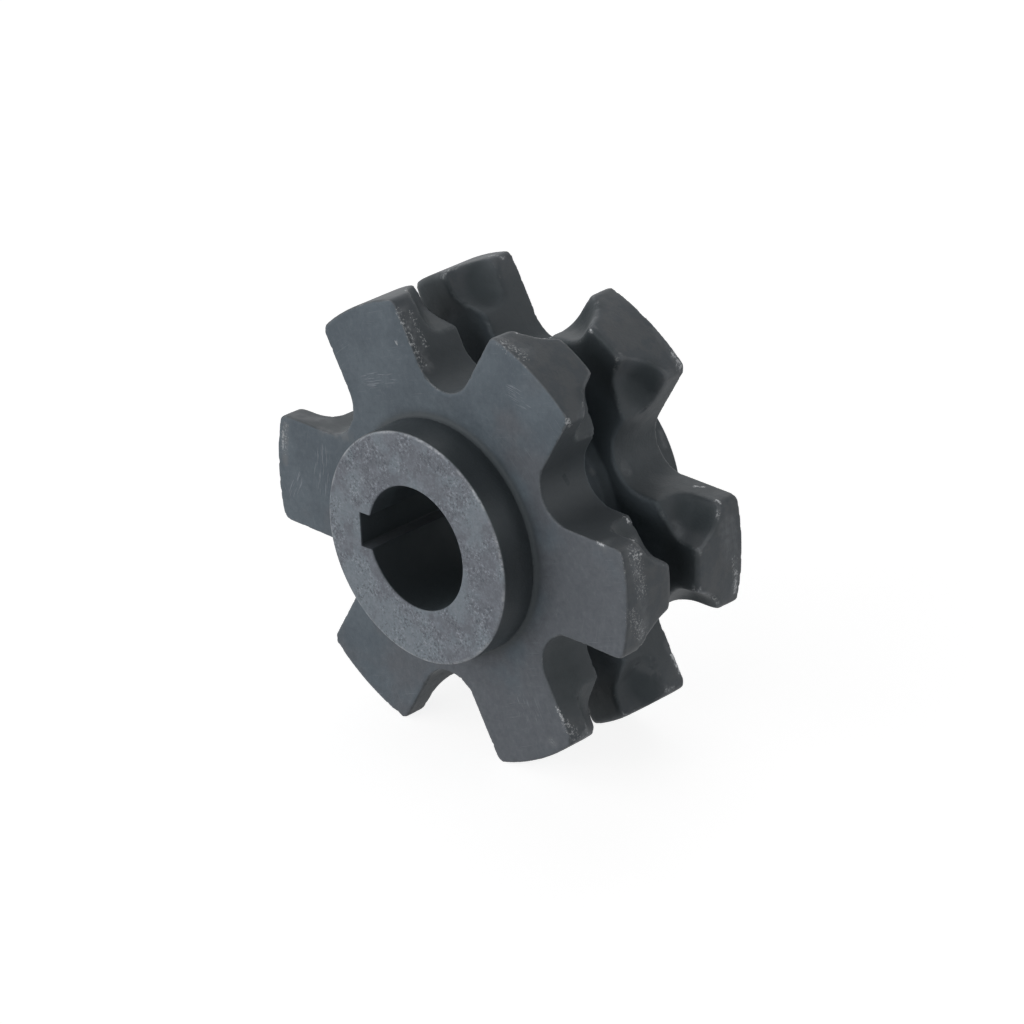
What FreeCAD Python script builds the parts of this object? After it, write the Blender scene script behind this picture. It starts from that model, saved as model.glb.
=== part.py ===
# Six-tooth pocket wheel for round-link chain, cast in one piece.
#
# Two toothed plates stand side by side on a thick hub. Every second link of the chain lies
# flat across the two plates, over the valley between two teeth, and its round ends drop into
# pockets cut in the teeth. The links between them stand upright in the groove between the
# plates. The hub stands out past both plates and has a bore with one keyway.
#
# Frame: millimetres, +Z up. The bore axis is Y and the origin is on it, halfway between the
# plates. Tooth 0 points along +X, so the wheel stands on the two teeth either side of -Z.
import FreeCAD, Part

import math
import os

from FreeCAD import Vector

NODE = "sprocket"

# The chain that the wheel carries
LINK_BAR = 14.0
LINK_PITCH = 50.0
LINK_WIDTH = 48.0
LINK_SIDE_CLEARANCE = 2.0
LINK_BED_CLEARANCE = 0.2
UPRIGHT_LINK_CLEARANCE = 1.0

# The toothed plates and the groove between them
TEETH = 6
TIP_DIAMETER = 208.5
TOOTH_WIDTH = 50.5
TOOTH_CORNER_RADIUS = 4.0
VALLEY_RADIUS = 16.0
PLATES_WIDTH = 72.0
GROOVE_FLOOR_DIAMETER = 114.0
GROOVE_FLOOR_CHAMFER = 4.0
GROOVE_MOUTH_CHAMFER = 1.8

# The chain pockets, and the narrow core of the tooth that is left between two of them
TOOTH_CORE_WIDTH = 20.0
POCKET_FLOOR_SLOPE = 8.0
POCKET_FLOOR_FILLET = 9.0
POCKET_WALL_DRAFT = 3.0

# The hub, its bore and its keyway
HUB_DIAMETER = 105.0
HUB_LENGTH = 110.0
HUB_ROOT_FILLET = 2.0
HUB_ROOT_STEPS = 2
HUB_EDGE_CHAMFER = 0.6
BORE_DIAMETER = 56.0
BORE_CHAMFER = 0.5
KEY_WIDTH = 16.0
KEYWAY_DEPTH = 5.0
KEYWAY_ANGLE = 182.4

# Sizes that follow from the ones above
TOOTH_STEP = 360.0 / TEETH
HALF_STEP = math.radians(TOOTH_STEP / 2)
QUARTER_STEP = HALF_STEP / 2
TIP_RADIUS = TIP_DIAMETER / 2
TOOTH_HALF = TOOTH_WIDTH / 2
PLATES_HALF = PLATES_WIDTH / 2
GROOVE_HALF = LINK_BAR / 2 + UPRIGHT_LINK_CLEARANCE
GROOVE_FLOOR_RADIUS = GROOVE_FLOOR_DIAMETER / 2
HUB_RADIUS = HUB_DIAMETER / 2
HUB_HALF = HUB_LENGTH / 2
BORE_RADIUS = BORE_DIAMETER / 2
POCKET_RADIUS = LINK_WIDTH / 2 + LINK_SIDE_CLEARANCE
POCKET_CENTRE = TOOTH_CORE_WIDTH / 2 + POCKET_RADIUS

# The centres of the bars of neighbouring links follow a polygon round the wheel. A flat link
# lies on this height above the axis, and the middle of its end bar this far from its own middle
FLAT_LINK_HEIGHT = (LINK_PITCH / math.tan(QUARTER_STEP) - LINK_BAR * math.tan(QUARTER_STEP)) / 2
END_BAR_REACH = (LINK_PITCH + LINK_BAR) / 2
BED_HEIGHT = FLAT_LINK_HEIGHT - LINK_BAR / 2 - LINK_BED_CLEARANCE

# How far cutting shapes run past what they cut, and how closely shapes are told apart
OVERSHOOT = 5.0
TOUCH = 1e-4
PLACES_ON_EDGE = 5

ORIGIN = Vector(0, 0, 0)
AXIS = Vector(0, 1, 0)
UP = Vector(0, 0, 1)


def in_disc(along, across, turn=0.0, y=0.0):
    """A point at a distance along and across the direction that lies turn radians up from +X."""
    x = along * math.cos(turn) - across * math.sin(turn)
    z = along * math.sin(turn) + across * math.cos(turn)
    return Vector(x, y, z)


def turned(shape, degrees):
    """A copy of the shape, turned about the bore axis from +X towards +Z."""
    copy = shape.copy()
    copy.rotate(ORIGIN, AXIS, -degrees)
    return copy


def root_fillet(side):
    """The points of the fillet at the root of the hub, from the hub out to the plate."""
    points = []
    for step in range(HUB_ROOT_STEPS + 1):
        turn = math.radians(90) * step / HUB_ROOT_STEPS
        radius = HUB_RADIUS + HUB_ROOT_FILLET * (1 - math.cos(turn))
        y = PLATES_HALF + HUB_ROOT_FILLET * (1 - math.sin(turn))
        points.append(Vector(radius, side * y, 0))
    return points


def half_profile(side):
    """The turned profile on one side of the groove's middle, from the bore out and back in."""
    hub = [
        Vector(BORE_RADIUS, side * (HUB_HALF - BORE_CHAMFER), 0),
        Vector(BORE_RADIUS + BORE_CHAMFER, side * HUB_HALF, 0),
        Vector(HUB_RADIUS - HUB_EDGE_CHAMFER, side * HUB_HALF, 0),
        Vector(HUB_RADIUS, side * (HUB_HALF - HUB_EDGE_CHAMFER), 0),
    ]
    plate = [
        Vector(TIP_RADIUS, side * PLATES_HALF, 0),
        Vector(TIP_RADIUS, side * (GROOVE_HALF + GROOVE_MOUTH_CHAMFER), 0),
        Vector(TIP_RADIUS - GROOVE_MOUTH_CHAMFER, side * GROOVE_HALF, 0),
        Vector(GROOVE_FLOOR_RADIUS + GROOVE_FLOOR_CHAMFER, side * GROOVE_HALF, 0),
        Vector(GROOVE_FLOOR_RADIUS, side * (GROOVE_HALF - GROOVE_FLOOR_CHAMFER), 0),
    ]
    return hub + root_fillet(side) + plate


def wheel_blank():
    """Hub, plates and groove, turned as one ring about the bore axis."""
    profile = half_profile(1) + half_profile(-1)[::-1]
    face = Part.Face(Part.makePolygon(profile + profile[:1]))
    return face.revolve(ORIGIN, AXIS, 360)


def tooth_outline():
    """The outline of a plate: parallel-sided teeth, round tips and round valleys."""
    valley_centre = (TOOTH_HALF + VALLEY_RADIUS) / math.sin(HALF_STEP)
    flank_foot = valley_centre * math.cos(HALF_STEP)
    # A tooth corner's arc touches the flank and, from inside, the tip circle
    corner_centre_across = TOOTH_HALF - TOOTH_CORNER_RADIUS
    flank_top = math.sqrt((TIP_RADIUS - TOOTH_CORNER_RADIUS) ** 2 - corner_centre_across**2)
    tip_turn = math.atan2(corner_centre_across, flank_top)
    corner_turn = (tip_turn + math.pi / 2) / 2
    corner_along = flank_top + TOOTH_CORNER_RADIUS * math.cos(corner_turn)
    corner_across = corner_centre_across + TOOTH_CORNER_RADIUS * math.sin(corner_turn)
    edges = []
    for tooth in range(TEETH):
        turn = math.radians(tooth * TOOTH_STEP)
        lower_foot = in_disc(flank_foot, -TOOTH_HALF, turn)
        lower_top = in_disc(flank_top, -TOOTH_HALF, turn)
        lower_corner = in_disc(corner_along, -corner_across, turn)
        lower_tip = in_disc(TIP_RADIUS, 0, turn - tip_turn)
        tip = in_disc(TIP_RADIUS, 0, turn)
        upper_tip = in_disc(TIP_RADIUS, 0, turn + tip_turn)
        upper_corner = in_disc(corner_along, corner_across, turn)
        upper_top = in_disc(flank_top, TOOTH_HALF, turn)
        upper_foot = in_disc(flank_foot, TOOTH_HALF, turn)
        valley = in_disc(valley_centre - VALLEY_RADIUS, 0, turn + HALF_STEP)
        next_foot = in_disc(flank_foot, -TOOTH_HALF, turn + 2 * HALF_STEP)
        edges.append(Part.makeLine(lower_foot, lower_top))
        edges.append(Part.Arc(lower_top, lower_corner, lower_tip).toShape())
        edges.append(Part.Arc(lower_tip, tip, upper_tip).toShape())
        edges.append(Part.Arc(upper_tip, upper_corner, upper_top).toShape())
        edges.append(Part.makeLine(upper_top, upper_foot))
        edges.append(Part.Arc(upper_foot, valley, next_foot).toShape())
    return Part.Wire(edges)


def toothed_prism():
    """The tooth outline drawn out along the axis, longer than the hub."""
    face = Part.Face(tooth_outline())
    face.translate(AXIS * (-HUB_HALF - OVERSHOOT))
    return face.extrude(AXIS * (HUB_LENGTH + 2 * OVERSHOOT))


def lies_in(edge, point, normal):
    """Whether the edge lies in the plane through a point."""
    return all(abs((place - point).dot(normal)) < TOUCH for place in edge.discretize(PLACES_ON_EDGE))


def pocket_cutter():
    """What the round end of a flat link clears on the upper flank of tooth 0.

    Its wall follows the end of the link and leans back towards the tip. Its floor is the bed of
    the link, which rises a little from the valley towards the tooth.
    """
    steepness = HALF_STEP + math.radians(POCKET_FLOOR_SLOPE)
    # The floor passes under the middle of the bar at the end of the link
    under_bar = in_disc(BED_HEIGHT, -END_BAR_REACH, HALF_STEP)
    valley_normal = in_disc(0, 1, HALF_STEP)
    floor_normal = in_disc(1, 0, steepness)
    floor_line = in_disc(0, 1, steepness)

    def on_floor(normal):
        """Where the floor, seen from the side, crosses the line through the axis with that normal."""
        return under_bar - floor_line * (under_bar.dot(normal) / floor_line.dot(normal))

    top = TIP_RADIUS + OVERSHOOT
    corners = [
        on_floor(UP),
        on_floor(valley_normal),
        in_disc(top, top * math.tan(HALF_STEP)),
        in_disc(top, 0),
    ]
    side_view = Part.Face(Part.makePolygon(corners + corners[:1]))
    side_view.translate(AXIS * -(2 * POCKET_RADIUS))
    block = side_view.extrude(AXIS * (4 * POCKET_RADIUS))

    # The wall has its full radius where the floor leaves the flank
    flank_along = under_bar.x + (under_bar.z - TOOTH_HALF) * math.tan(steepness)
    foot = flank_along / 2
    lean = math.tan(math.radians(POCKET_WALL_DRAFT))
    foot_radius = POCKET_RADIUS - (flank_along - foot) * lean
    top_radius = POCKET_RADIUS + (top - flank_along) * lean
    wall = Part.makeCone(foot_radius, top_radius, top - foot, in_disc(foot, POCKET_CENTRE), in_disc(1, 0))

    block = block.common(wall)
    floor_edges = [
        edge
        for edge in block.Edges
        if lies_in(edge, under_bar, floor_normal) and not lies_in(edge, ORIGIN, valley_normal)
    ]
    return block.makeFillet(POCKET_FLOOR_FILLET, floor_edges)


def pocket_cutters():
    """The cutters for both flanks of every tooth."""
    upper = pocket_cutter()
    lower = upper.mirror(ORIGIN, UP)
    return [turned(cutter, tooth * TOOTH_STEP) for tooth in range(TEETH) for cutter in (upper, lower)]


def keyway_cutter():
    """A bar as wide as the key, from the axis to the floor of the keyway."""
    length = HUB_LENGTH + 2 * OVERSHOOT
    corner = Vector(0, -length / 2, -KEY_WIDTH / 2)
    bar = Part.makeBox(BORE_RADIUS + KEYWAY_DEPTH, length, KEY_WIDTH, corner)
    return turned(bar, KEYWAY_ANGLE)


def pocket_wheel():
    """The blank with its teeth, pockets and keyway."""
    toothed = wheel_blank().common(toothed_prism())
    return toothed.cut(pocket_cutters() + [keyway_cutter()])


def main():
    wheel = pocket_wheel()
    os.makedirs("parts", exist_ok=True)
    wheel.exportStep("parts/" + NODE + ".step")
    print(NODE, "valid:", wheel.isValid(), "solids:", len(wheel.Solids), "mm3:", round(wheel.Volume))


if __name__ == "__main__":
    main()
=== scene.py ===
# %% [markdown]
# A pocket sprocket for round-link chain, dressed for its picture in Blender.
# The real one is a single iron casting: two toothed plates side by side on a thick hub, with a
# groove between them for the upright links and pockets in the teeth for the flat ones. It was
# blackened, has been handled a lot, and shows bright nicks and rubbed corners.
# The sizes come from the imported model, which is the fixed frame. This lesson gives that shape
# its cast skin, its machined hub and its finish, and never changes a size.

import math

import bpy
import numpy as np
from mathutils import Matrix, Vector, noise
from mathutils.kdtree import KDTree


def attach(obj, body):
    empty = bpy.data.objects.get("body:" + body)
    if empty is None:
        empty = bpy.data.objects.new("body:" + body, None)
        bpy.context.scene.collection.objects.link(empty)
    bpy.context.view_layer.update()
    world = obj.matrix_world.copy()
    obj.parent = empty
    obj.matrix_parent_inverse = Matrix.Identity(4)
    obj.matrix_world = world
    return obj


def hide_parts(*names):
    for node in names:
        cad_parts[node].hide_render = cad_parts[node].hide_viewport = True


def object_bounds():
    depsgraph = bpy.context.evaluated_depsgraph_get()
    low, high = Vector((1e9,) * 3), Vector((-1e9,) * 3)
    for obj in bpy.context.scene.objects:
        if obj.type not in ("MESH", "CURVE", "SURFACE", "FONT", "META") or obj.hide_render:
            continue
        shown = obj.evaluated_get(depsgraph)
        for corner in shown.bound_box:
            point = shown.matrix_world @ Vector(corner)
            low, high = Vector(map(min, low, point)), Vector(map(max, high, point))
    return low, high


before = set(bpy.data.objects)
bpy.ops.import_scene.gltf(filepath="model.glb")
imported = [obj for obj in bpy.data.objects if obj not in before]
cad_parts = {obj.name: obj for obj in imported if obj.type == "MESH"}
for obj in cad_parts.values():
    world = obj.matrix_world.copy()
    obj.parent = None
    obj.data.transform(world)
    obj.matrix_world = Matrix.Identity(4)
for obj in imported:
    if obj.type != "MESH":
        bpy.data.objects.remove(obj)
NODE = "sprocket"
cad_low, cad_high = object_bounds()
bpy.ops.object.select_all(action="DESELECT")
print("CAD box in m:", [round(v, 5) for v in cad_high - cad_low])

# %% [markdown]
# ## Sizes
# Blender works in metres, so a millimetre gets a name and every size is written with it. The
# hub's length and the tip circle are read from the frame's box, so they can't drift away from
# the CAD model. The others are the sizes on which a machinist would work.

# %% The sizes that the steps use
MM = 0.001
HUB_LENGTH = cad_high.y - cad_low.y
TIP_RADIUS = (cad_high.x - cad_low.x) / 2
PLATES_HALF = 36.0 * MM
HUB_RADIUS = 52.5 * MM
BORE_RADIUS = 28.0 * MM
KEY_WIDTH = 16.0 * MM
KEYWAY_FLOOR = 33.0 * MM
KEYWAY_TURN = math.radians(2.4)
TEETH = 6
HALF_STEP = math.pi / TEETH
print("hub", round(HUB_LENGTH / MM, 2), "mm long, tip circle", round(2 * TIP_RADIUS / MM, 2), "mm across")

# %% [markdown]
# ## Camera
# The photograph was taken with a long lens, from the right of the bore and above it. The camera
# gets that place and turn first, because every later choice is judged through it. It aims at a
# point near the hub and is rolled about one degree, as a hand-held camera is.

# %% The camera
CAMERA_AZIMUTH = math.radians(44.320)
CAMERA_ELEVATION = math.radians(25.879)
CAMERA_ROLL = math.radians(-1.067)
CAMERA_DISTANCE = 1893.649 * MM
CAMERA_LENS = 154.673
AIM_SIDE = -2.951 * MM
AIM_RISE = 2.303 * MM


def add_camera():
    """A camera that looks at the wheel from the photographer's place."""
    level = math.cos(CAMERA_ELEVATION)
    back = Vector((
        math.sin(CAMERA_AZIMUTH) * level,
        -math.cos(CAMERA_AZIMUTH) * level,
        math.sin(CAMERA_ELEVATION),
    ))
    upright = back.to_track_quat("Z", "Y").to_matrix()
    turn = upright @ Matrix.Rotation(CAMERA_ROLL, 3, "Z")
    right, up = turn.col[0], turn.col[1]
    place = back * CAMERA_DISTANCE - right * AIM_SIDE - up * AIM_RISE
    bpy.ops.object.camera_add(location=place, rotation=turn.to_euler())
    camera = bpy.context.object
    camera.data.lens = CAMERA_LENS
    bpy.context.scene.camera = camera
    return camera


camera = add_camera()
print("camera at", [round(v, 4) for v in camera.location])

# %% [markdown]
# ## Light
# The picture has no hard shadow anywhere. The light is like that of an even sky, with the most in
# front of the bore and a little to the left. Four very wide suns do that. Each is a direction
# that the light comes from and a strength, and their angle blurs every shadow edge. A sun doesn't
# fade with distance, so the whole wheel gets the same light, as it would outdoors.

# %% The lamps
SUN_ANGLE = math.radians(60)
SUNS = {
    "sky_in_front": ((-0.08, -0.95, 0.06), 1.52),
    "sky_at_the_left": ((-0.70, -0.60, 0.30), 0.75),
    "sky_behind_left": ((-0.58, 0.49, 0.60), 0.55),
    "sky_behind_right": ((0.70, 0.60, 0.12), 0.53),
}
for name, (comes_from, strength) in SUNS.items():
    turn = Vector(comes_from).to_track_quat("Z", "Y").to_euler()
    bpy.ops.object.light_add(type="SUN", rotation=turn)
    lamp = bpy.context.object
    lamp.name = name
    lamp.data.energy = strength
    lamp.data.angle = SUN_ANGLE
bpy.context.scene.view_settings.view_transform = "Standard"
print("lamps:", sorted(SUNS))

# %% [markdown]
# ## Shader maths in Python
# Every finish below is a sum of masks: where the hub's face is, where grease stays, where a
# corner is rubbed. Such sums are long to wire by hand, so one small class wraps a node's output
# and lets Python's own operators add the Math nodes. Any other node comes from one method that
# takes its type, its settings and what goes into its sockets.

# %% A wrapped socket


class Wire:
    """The output of a node. Adding, multiplying and so on makes the Math nodes that do it."""

    def __init__(self, tree, socket):
        self.tree = tree
        self.socket = socket

    def maths(self, operation, *values):
        return self.tree.add("ShaderNodeMath", {"operation": operation}, dict(enumerate(values)))

    def __add__(self, other):
        return self.maths("ADD", self, other)

    def __radd__(self, other):
        return self.maths("ADD", other, self)

    def __sub__(self, other):
        return self.maths("SUBTRACT", self, other)

    def __rsub__(self, other):
        return self.maths("SUBTRACT", other, self)

    def __mul__(self, other):
        return self.maths("MULTIPLY", self, other)

    def __rmul__(self, other):
        return self.maths("MULTIPLY", other, self)

    def __truediv__(self, other):
        return self.maths("DIVIDE", self, other)

    def __rtruediv__(self, other):
        return self.maths("DIVIDE", other, self)

    def __pow__(self, other):
        return self.maths("POWER", self, other)

    def __rpow__(self, other):
        return self.maths("POWER", other, self)

    def __abs__(self):
        return self.maths("ABSOLUTE", self)

    def most(self, other):
        return self.maths("MAXIMUM", self, other)

    def least(self, other):
        return self.maths("MINIMUM", self, other)

    def rise(self, low, high):
        """0 below low, 1 above high, and a smooth ramp between them."""
        return self.ramp(low, high, 0.0, 1.0)

    def fall(self, low, high):
        """1 below low, 0 above high, and a smooth ramp between them."""
        return self.ramp(low, high, 1.0, 0.0)

    def ramp(self, low, high, first, last):
        """A smooth ramp from first, below low, to last, above high."""
        ends = {"Value": self, "From Min": low, "From Max": high, "To Min": first, "To Max": last}
        return self.tree.add("ShaderNodeMapRange", {"interpolation_type": "SMOOTHSTEP"}, ends)


print("a wire can be added, multiplied, compared and ramped")

# %% The node maker


class Tree:
    """A node tree that is being built."""

    def __init__(self, owner):
        owner.use_nodes = True
        self.nodes = owner.node_tree.nodes
        self.links = owner.node_tree.links
        self.nodes.clear()

    def add(self, kind, settings=None, values=None, output=0):
        """A node with its settings, then its sockets' values or links, and one of its outputs."""
        node = self.nodes.new(kind)
        for name, value in (settings or {}).items():
            setattr(node, name, value)
        for place, value in (values or {}).items():
            socket = self.find(node.inputs, place)
            if isinstance(value, Wire):
                self.links.new(value.socket, socket)
            else:
                socket.default_value = value
        return None if output is None else Wire(self, self.find(node.outputs, output))

    def find(self, sockets, place):
        """A socket by its number, or the one in use by its name."""
        if isinstance(place, int):
            return sockets[place]
        return next(socket for socket in sockets if socket.name == place and socket.enabled)

    def mixed(self, share, first, second):
        """A colour between two others."""
        settings = {"data_type": "RGBA"}
        return self.add("ShaderNodeMix", settings, {"Factor": share, "A": first, "B": second}, "Result")

    def vector(self, operation, *values, output=0):
        """Maths on vectors."""
        return self.add("ShaderNodeVectorMath", {"operation": operation}, dict(enumerate(values)), output)


print("shader kit ready")

# %% [markdown]
# ## Floor and background
# The photograph has been cut out on white. A share of the floor is ordinary white paper, which
# takes the wheel's soft shadow, and the rest glows for the camera alone. The paper is darker than
# white under these lamps, so the glow is stronger than 1 by what the paper lacks, and the two
# together are just white. The glow lights nothing: the iron only mirrors it.

# %% The floor and the world
FLOOR_SIZE = 12.0
FLOOR_PAINT = (0.90, 0.90, 0.90, 1)
GLOWING_SHARE = 0.50
GLOW = 1.72
WHITE = (1, 1, 1, 1)
SKY_LIGHT = 0.10


def seen_directly(tree):
    """1 for the camera, for mirrors and for clear glass, and 0 for the light that falls on things."""
    camera_ray = tree.add("ShaderNodeLightPath", output="Is Camera Ray")
    glossy_ray = tree.add("ShaderNodeLightPath", output="Is Glossy Ray")
    clear_ray = tree.add("ShaderNodeLightPath", output="Is Transmission Ray")
    return camera_ray.most(glossy_ray).most(clear_ray)


def floor_finish():
    material = bpy.data.materials.new("white_paper_floor")
    tree = Tree(material)
    paper = tree.add("ShaderNodeBsdfDiffuse", None, {"Color": FLOOR_PAINT})
    glow = tree.add("ShaderNodeEmission", None, {"Color": WHITE, "Strength": GLOW})
    share = seen_directly(tree) * GLOWING_SHARE
    surface = tree.add("ShaderNodeMixShader", None, {0: share, 1: paper, 2: glow})
    tree.add("ShaderNodeOutputMaterial", None, {"Surface": surface}, None)
    return material


def white_world():
    world = bpy.data.worlds.new("even_sky")
    bpy.context.scene.world = world
    tree = Tree(world)
    share = seen_directly(tree)
    strength = share + (1.0 - share) * SKY_LIGHT
    sky = tree.add("ShaderNodeBackground", None, {"Color": WHITE, "Strength": strength})
    tree.add("ShaderNodeOutputWorld", None, {"Surface": sky}, None)


bpy.ops.mesh.primitive_plane_add(size=FLOOR_SIZE, location=(0, 0, cad_low.z))
floor = bpy.context.object
floor.name = "floor"
floor.data.materials.append(floor_finish())
white_world()
print("floor at", round(cad_low.z / MM, 2), "mm")

# %% [markdown]
# ## The casting's skin
# A casting has no sharp edges: the sand mould rounds every corner, and years of chain rub them
# further. The CAD model is sharp. Beveling hundreds of curved edges would break where they meet,
# so the skin is made as a moulder would rub down a pattern: a copy of the CAD shape is rebuilt
# from small even cells by voxel remesh, and then smoothed, which takes the corners off and
# leaves flat faces flat. The copy's loose triangles are merged first. Only the part between the
# outer sides of the plates is needed, since the hub's ends are machined and made separately.

# %% Helpers for working on one object
WELD = 0.001 * MM
ROUND_STEPS = 256


def only(piece):
    """Selects one object and makes it the active one."""
    bpy.ops.object.select_all(action="DESELECT")
    piece.select_set(True)
    bpy.context.view_layer.objects.active = piece


def shaped(piece, kind, **settings):
    """Adds a modifier, sets it and applies it."""
    only(piece)
    modifier = piece.modifiers.new(kind.lower(), kind)
    for name, value in settings.items():
        setattr(modifier, name, value)
    bpy.ops.object.modifier_apply(modifier=modifier.name)


def join_or_cut(piece, tool, operation):
    """Adds, cuts or keeps the overlap of a tool, and removes the tool."""
    shaped(piece, "BOOLEAN", object=tool, operation=operation, solver="MANIFOLD")
    bpy.data.objects.remove(tool)


def round_bar(radius, length):
    """A closed bar along the bore axis, centred on the wheel."""
    bpy.ops.object.select_all(action="DESELECT")
    bpy.ops.mesh.primitive_cylinder_add(
        vertices=ROUND_STEPS, radius=radius, depth=length, rotation=(math.pi / 2, 0, 0)
    )
    bar = bpy.context.object
    bpy.ops.object.transform_apply(location=True, rotation=True, scale=True)
    return bar


def deselected(piece):
    """Takes the selection off everything in the piece, and makes it the active object."""
    only(piece)
    bpy.ops.object.mode_set(mode="EDIT")
    bpy.ops.mesh.select_all(action="DESELECT")
    bpy.ops.object.mode_set(mode="OBJECT")


def places(piece):
    """The places of the piece's vertices as a table of x, y and z."""
    table = np.empty(3 * len(piece.data.vertices))
    piece.data.vertices.foreach_get("co", table)
    return table.reshape(-1, 3)


print("a round bar is drawn with", ROUND_STEPS, "steps")

# %% Rebuild the plates from small cells
SKIN_CELL = 0.7 * MM
SKIRT = 2.5 * MM

cad_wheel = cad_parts[NODE]
wheel = cad_wheel.copy()
wheel.data = cad_wheel.data.copy()
bpy.context.scene.collection.objects.link(wheel)
for label in list(wheel.keys()):
    if label.startswith("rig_"):
        del wheel[label]
wheel.name = "cast_wheel"
wheel.data.name = "cast_wheel"
only(wheel)
bpy.ops.object.mode_set(mode="EDIT")
bpy.ops.mesh.select_all(action="SELECT")
bpy.ops.mesh.remove_doubles(threshold=WELD)
bpy.ops.object.mode_set(mode="OBJECT")
join_or_cut(wheel, round_bar(2 * TIP_RADIUS, 2 * (PLATES_HALF + SKIRT)), "INTERSECT")
shaped(wheel, "REMESH", mode="VOXEL", voxel_size=SKIN_CELL)
print("skin cells:", len(wheel.data.polygons))

# %% [markdown]
# ## Rubbed corners
# Smoothing moves a vertex only where the surface bends, so it also measures how much of a corner
# each place is: the way a vertex has moved, along its normal, is positive on an edge that is
# rubbed off and negative in a hollow. That number is kept, and tells the finish where bright
# wear goes. The pockets are rounder than the rest, as the links have hammered them, so a vertex
# group gives them a second, stronger smoothing.

# %% Smooth the skin and measure the corners
SKIN_ROUNDS = 8
POCKET_ROUNDS = 18
SMOOTHING = 0.5
POCKETS_START = 66 * MM
POCKETS_ACROSS = (7 * MM, 26 * MM)
POCKETS_SIDE = 30 * MM


def on_one_tooth(table):
    """Distance along and across the nearest tooth, and distance from the groove's middle."""
    turn = np.arctan2(table[:, 2], table[:, 0])
    folded = (turn + HALF_STEP) % (2 * HALF_STEP) - HALF_STEP
    radius = np.hypot(table[:, 0], table[:, 2])
    return radius * np.cos(folded), np.abs(radius * np.sin(folded)), np.abs(table[:, 1])


sharp = places(wheel)
along, across, side = on_one_tooth(sharp)
beside_the_middle = (across > POCKETS_ACROSS[0]) & (across < POCKETS_ACROSS[1])
round_the_pockets = (along > POCKETS_START) & beside_the_middle & (side < POCKETS_SIDE)
pockets = wheel.vertex_groups.new(name="pockets")
pockets.add(np.flatnonzero(round_the_pockets).tolist(), 1.0, "REPLACE")
shaped(wheel, "SMOOTH", factor=SMOOTHING, iterations=SKIN_ROUNDS)
shaped(wheel, "SMOOTH", factor=SMOOTHING, iterations=POCKET_ROUNDS, vertex_group="pockets")
smooth = places(wheel)
normals = np.empty(smooth.size)
wheel.data.vertices.foreach_get("normal", normals)
outward = normals.reshape(-1, 3)
rubbed_off = np.einsum("ij,ij->i", sharp - smooth, outward)
most_rubbed, most_filled = rubbed_off.max() / MM, -rubbed_off.min() / MM
print("most rubbed off, in mm:", round(most_rubbed, 2), "filled:", round(most_filled, 2))

# %% [markdown]
# ## Chipped edges
# The photographed wheel's outline isn't smooth: chain and handling have knocked small flakes off
# its edges. A flake is a dent of up to one millimetre that shows against the white, so it has to
# be in the shape and not in the finish. Two sizes of noise say where the flakes are. Only vertices
# on a corner are pushed in, so the flat faces stay flat and nothing grows.

# %% Knock flakes off the edges
FLAKE_SIZE = 4.5 * MM
FLAKE_DEPTH = 1.0 * MM
FLAKE_START = 0.22
CHIPS_PER_FLAKE = 2.7
CHIP_SHARE = 0.5
CORNER_NEEDED = 0.05 * MM
CORNER_FULL = 0.20 * MM


def flake_depth(place, rubbed):
    """How far a place on a corner is knocked in."""
    spot = Vector(place) / FLAKE_SIZE
    rough = noise.noise(spot) + CHIP_SHARE * noise.noise(spot * CHIPS_PER_FLAKE)
    on_corner = min(1.0, (rubbed - CORNER_NEEDED) / (CORNER_FULL - CORNER_NEEDED))
    return max(0.0, rough - FLAKE_START) * FLAKE_DEPTH * on_corner


chipped = smooth.copy()
for number in np.flatnonzero(rubbed_off > CORNER_NEEDED):
    chipped[number] -= outward[number] * flake_depth(smooth[number], rubbed_off[number])
wheel.data.vertices.foreach_set("co", chipped.ravel())
wheel.data.update()
print("deepest flake in mm:", round(np.linalg.norm(chipped - smooth, axis=1).max() / MM, 2))

# %% [markdown]
# ## Fewer cells
# The flat faces don't need a cell every 0.7 mm, and a piece has to stay under 200,000 triangles.
# Decimate takes the cells away where the surface is flat. It also forgets the corner measure, so
# the chipped skin's vertices are kept in a search tree, from which each vertex of the finished
# wheel gets its measure back.

# %% Keep the measure and thin the skin
TRIANGLES_KEPT = 165000
corner_finder = KDTree(len(chipped))
for number, place in enumerate(chipped):
    corner_finder.insert(place, number)
corner_finder.balance()
shaped(wheel, "DECIMATE", ratio=TRIANGLES_KEPT / (2 * len(wheel.data.polygons)))
print("skin faces:", len(wheel.data.polygons))

# %% [markdown]
# ## The machined hub
# The hub's ends, its outside and its bore are cut in a lathe, so they stay true and crisp while
# the skin round them is soft. The hub is a bar with a small bevel turned on both rims, wider on
# the rubbed front one. It is joined to the plates by a boolean, and then a longer bar and a
# square one cut the bore and the keyway through both, as the drill and the broach did.

# %% Tools for the hub, the bore and the keyway
FRONT_RIM_BEVEL = 1.3 * MM
REAR_RIM_BEVEL = 0.6 * MM
BEVEL_STEPS = 3
ROUND_PROFILE = 0.5
BORE_BEVEL = 0.4 * MM
PAST = 5 * MM
FACING = 0.9


def bevel_rim(bar, end, width):
    """Bevels the rim at one end of a bar."""
    deselected(bar)
    at_the_end = np.abs(places(bar)[:, 1] - end) < WELD
    for edge in bar.data.edges:
        first, second = edge.vertices
        edge.select = bool(at_the_end[first] and at_the_end[second])
    bpy.ops.object.mode_set(mode="EDIT")
    bpy.ops.mesh.select_mode(type="EDGE")
    bpy.ops.mesh.bevel(offset=width, segments=BEVEL_STEPS, profile=ROUND_PROFILE)
    bpy.ops.object.mode_set(mode="OBJECT")


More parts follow.
